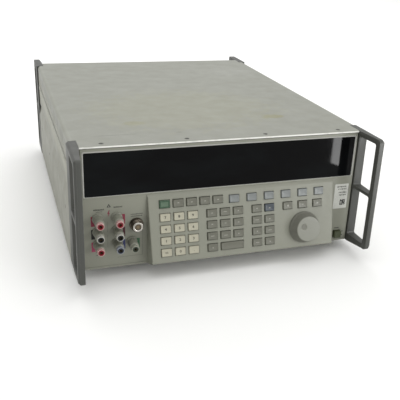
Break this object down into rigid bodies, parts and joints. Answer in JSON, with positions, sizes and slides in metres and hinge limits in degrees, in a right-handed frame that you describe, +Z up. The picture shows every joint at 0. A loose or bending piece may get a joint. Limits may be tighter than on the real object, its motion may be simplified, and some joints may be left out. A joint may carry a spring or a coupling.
{
  "type": "frequency counter",
  "caption": "Rack-width bench instrument with a wide smoked display lens, raised keypad, spin knob, coloured binding posts and cast carrying handles.",
  "frame": {"origin": "on the floor under the centre of the bounding box, feet and all four handles included", "axes": "+Z up, +X to the right seen from the front, the front panel faces -Y"},
  "size_m": [0.432, 0.63, 0.193],
  "materials": {
    "case_paint": "satin light warm grey, slightly textured",
    "handle_paint": "satin dark grey casting",
    "chassis_metal": "plain alodined sheet",
    "panel_plastic": "fine-textured greenish grey",
    "lens": "smoked, glossy",
    "display_glass": "dark display tube",
    "foot_rubber": "matt",
    "board": "solder-masked laminate",
    "fitting_metal": "plated",
    "dark_plastic": "matt",
    "post_sleeve": "moulded, coloured by terminal",
    "connector_metal": "bright nickel",
    "core_iron": "varnished laminations",
    "screw_steel": "zinc plated",
    "knob_plastic": "satin",
    "power_plastic": "satin dark green",
    "post_cap": "satin grey",
    "key_cream": "satin",
    "key_soft": "satin",
    "key_grey": "satin",
    "key_green": "satin",
    "key_blue": "satin"
  },
  "bodies": {
    "case": {"chassis": "chassis_metal", "left_side_panel": "case_paint", "right_side_panel": "case_paint", "top_cover": "case_paint", "bottom_cover": "case_paint", "front_panel": "panel_plastic", "display_lens": "lens", "display_module": "display_glass", "left_front_handle": "handle_paint", "right_front_handle": "handle_paint", "rear_handles": "handle_paint", "rear_panel": "chassis_metal", "feet": "foot_rubber", "keyboard_board": "board", "knob_encoder": "fitting_metal", "power_switch": "dark_plastic", "binding_post_bodies": "post_sleeve", "wideband_connector": "connector_metal", "circuit_boards": "board", "power_transformer": "core_iron", "fan_housing": "dark_plastic", "rear_connectors": "connector_metal", "screws": "screw_steel"},
    "fan_rotor": {"fan_rotor": "dark_plastic"},
    "edit_knob": {"edit_knob": "knob_plastic"},
    "power_button": {"power_button": "power_plastic"},
    "output_hi_cap": {"output_hi_cap": "post_cap"},
    "output_lo_cap": {"output_lo_cap": "post_cap"},
    "aux_cap": {"aux_cap": "post_cap"},
    "sense_hi_cap": {"sense_hi_cap": "post_cap"},
    "sense_lo_cap": {"sense_lo_cap": "post_cap"},
    "guard_cap": {"guard_cap": "post_cap"},
    "ground_cap": {"ground_cap": "post_cap"},
    "number_key_7": {"number_key_7": "key_cream"},
    "number_key_8": {"number_key_8": "key_cream"},
    "number_key_9": {"number_key_9": "key_cream"},
    "number_key_4": {"number_key_4": "key_cream"},
    "number_key_5": {"number_key_5": "key_cream"},
    "number_key_6": {"number_key_6": "key_cream"},
    "number_key_1": {"number_key_1": "key_cream"},
    "number_key_2": {"number_key_2": "key_cream"},
    "number_key_3": {"number_key_3": "key_cream"},
    "sign_key": {"sign_key": "key_cream"},
    "number_key_0": {"number_key_0": "key_cream"},
    "decimal_key": {"decimal_key": "key_cream"},
    "softkey_1": {"softkey_1": "key_soft"},
    "softkey_2": {"softkey_2": "key_soft"},
    "softkey_3": {"softkey_3": "key_soft"},
    "softkey_4": {"softkey_4": "key_soft"},
    "softkey_5": {"softkey_5": "key_soft"},
    "softkey_6": {"softkey_6": "key_soft"},
    "edit_left_key": {"edit_left_key": "key_grey"},
    "edit_field_key": {"edit_field_key": "key_grey"},
    "edit_right_key": {"edit_right_key": "key_grey"},
    "operate_key": {"operate_key": "key_green"},
    "enter_key": {"enter_key": "key_grey"},
    "reset_key": {"reset_key": "key_blue"},
    "mode_keys": {"mode_keys": "key_grey"},
    "unit_keys": {"unit_keys": "key_grey"},
    "utility_keys": {"utility_keys": "key_grey"}
  },
  "joints": [
    {"name": "number_key_7_press", "type": "slide", "parent": "case", "child": "number_key_7", "axis": [0, 0.9744, -0.225], "range_m": [0, 0.0018], "stiffness_N_per_m": 300},
    {"name": "number_key_8_press", "type": "slide", "parent": "case", "child": "number_key_8", "axis": [0, 0.9744, -0.225], "range_m": [0, 0.0018], "stiffness_N_per_m": 300},
    {"name": "number_key_9_press", "type": "slide", "parent": "case", "child": "number_key_9", "axis": [0, 0.9744, -0.225], "range_m": [0, 0.0018], "stiffness_N_per_m": 300},
    {"name": "number_key_4_press", "type": "slide", "parent": "case", "child": "number_key_4", "axis": [0, 0.9744, -0.225], "range_m": [0, 0.0018], "stiffness_N_per_m": 300},
    {"name": "number_key_5_press", "type": "slide", "parent": "case", "child": "number_key_5", "axis": [0, 0.9744, -0.225], "range_m": [0, 0.0018], "stiffness_N_per_m": 300},
    {"name": "number_key_6_press", "type": "slide", "parent": "case", "child": "number_key_6", "axis": [0, 0.9744, -0.225], "range_m": [0, 0.0018], "stiffness_N_per_m": 300},
    {"name": "number_key_1_press", "type": "slide", "parent": "case", "child": "number_key_1", "axis": [0, 0.9744, -0.225], "range_m": [0, 0.0018], "stiffness_N_per_m": 300},
    {"name": "number_key_2_press", "type": "slide", "parent": "case", "child": "number_key_2", "axis": [0, 0.9744, -0.225], "range_m": [0, 0.0018], "stiffness_N_per_m": 300},
    {"name": "number_key_3_press", "type": "slide", "parent": "case", "child": "number_key_3", "axis": [0, 0.9744, -0.225], "range_m": [0, 0.0018], "stiffness_N_per_m": 300},
    {"name": "sign_key_press", "type": "slide", "parent": "case", "child": "sign_key", "axis": [0, 0.9744, -0.225], "range_m": [0, 0.0018], "stiffness_N_per_m": 300},
    {"name": "number_key_0_press", "type": "slide", "parent": "case", "child": "number_key_0", "axis": [0, 0.9744, -0.225], "range_m": [0, 0.0018], "stiffness_N_per_m": 300},
    {"name": "decimal_key_press", "type": "slide", "parent": "case", "child": "decimal_key", "axis": [0, 0.9744, -0.225], "range_m": [0, 0.0018], "stiffness_N_per_m": 300},
    {"name": "softkey_1_press", "type": "slide", "parent": "case", "child": "softkey_1", "axis": [0, 0.9744, -0.225], "range_m": [0, 0.0018], "stiffness_N_per_m": 300},
    {"name": "softkey_2_press", "type": "slide", "parent": "case", "child": "softkey_2", "axis": [0, 0.9744, -0.225], "range_m": [0, 0.0018], "stiffness_N_per_m": 300},
    {"name": "softkey_3_press", "type": "slide", "parent": "case", "child": "softkey_3", "axis": [0, 0.9744, -0.225], "range_m": [0, 0.0018], "stiffness_N_per_m": 300},
    {"name": "softkey_4_press", "type": "slide", "parent": "case", "child": "softkey_4", "axis": [0, 0.9744, -0.225], "range_m": [0, 0.0018], "stiffness_N_per_m": 300},
    {"name": "softkey_5_press", "type": "slide", "parent": "case", "child": "softkey_5", "axis": [0, 0.9744, -0.225], "range_m": [0, 0.0018], "stiffness_N_per_m": 300},
    {"name": "softkey_6_press", "type": "slide", "parent": "case", "child": "softkey_6", "axis": [0, 0.9744, -0.225], "range_m": [0, 0.0018], "stiffness_N_per_m": 300},
    {"name": "edit_left_key_press", "type": "slide", "parent": "case", "child": "edit_left_key", "axis": [0, 0.9744, -0.225], "range_m": [0, 0.0018], "stiffness_N_per_m": 300},
    {"name": "edit_field_key_press", "type": "slide", "parent": "case", "child": "edit_field_key", "axis": [0, 0.9744, -0.225], "range_m": [0, 0.0018], "stiffness_N_per_m": 300},
    {"name": "edit_right_key_press", "type": "slide", "parent": "case", "child": "edit_right_key", "axis": [0, 0.9744, -0.225], "range_m": [0, 0.0018], "stiffness_N_per_m": 300},
    {"name": "operate_key_press", "type": "slide", "parent": "case", "child": "operate_key", "axis": [0, 0.9744, -0.225], "range_m": [0, 0.0018], "stiffness_N_per_m": 300},
    {"name": "enter_key_press", "type": "slide", "parent": "case", "child": "enter_key", "axis": [0, 0.9744, -0.225], "range_m": [0, 0.0018], "stiffness_N_per_m": 300},
    {"name": "reset_key_press", "type": "slide", "parent": "case", "child": "reset_key", "axis": [0, 0.9744, -0.225], "range_m": [0, 0.0018], "stiffness_N_per_m": 300},
    {"name": "mode_keys_press", "type": "slide", "parent": "case", "child": "mode_keys", "axis": [0, 0.9744, -0.225], "range_m": [0, 0.0018], "stiffness_N_per_m": 1200},
    {"name": "unit_keys_press", "type": "slide", "parent": "case", "child": "unit_keys", "axis": [0, 0.9744, -0.225], "range_m": [0, 0.0018], "stiffness_N_per_m": 3000},
    {"name": "utility_keys_press", "type": "slide", "parent": "case", "child": "utility_keys", "axis": [0, 0.9744, -0.225], "range_m": [0, 0.0018], "stiffness_N_per_m": 2100},
    {"name": "power_button_press", "type": "slide", "parent": "case", "child": "power_button", "axis": [0, 1, 0], "range_m": [0, 0.004], "stiffness_N_per_m": 400},
    {"name": "edit_knob_turn", "type": "hinge", "parent": "case", "child": "edit_knob", "pos_m": [0.119, -0.28923, 0.05587], "axis": [0, -0.9744, 0.225], "continuous": true},
    {"name": "fan_spin", "type": "hinge", "parent": "case", "child": "fan_rotor", "pos_m": [-0.115, 0.245, 0.104], "axis": [0, 1, 0], "continuous": true},
    {"name": "output_hi_cap_unscrew", "type": "slide", "parent": "case", "child": "output_hi_cap", "axis": [0, -1, 0], "range_m": [0, 0.004]},
    {"name": "output_lo_cap_unscrew", "type": "slide", "parent": "case", "child": "output_lo_cap", "axis": [0, -1, 0], "range_m": [0, 0.004]},
    {"name": "aux_cap_unscrew", "type": "slide", "parent": "case", "child": "aux_cap", "axis": [0, -1, 0], "range_m": [0, 0.004]},
    {"name": "sense_hi_cap_unscrew", "type": "slide", "parent": "case", "child": "sense_hi_cap", "axis": [0, -1, 0], "range_m": [0, 0.004]},
    {"name": "sense_lo_cap_unscrew", "type": "slide", "parent": "case", "child": "sense_lo_cap", "axis": [0, -1, 0], "range_m": [0, 0.004]},
    {"name": "guard_cap_unscrew", "type": "slide", "parent": "case", "child": "guard_cap", "axis": [0, -1, 0], "range_m": [0, 0.004]},
    {"name": "ground_cap_unscrew", "type": "slide", "parent": "case", "child": "ground_cap", "axis": [0, -1, 0], "range_m": [0, 0.004]}
  ]
}
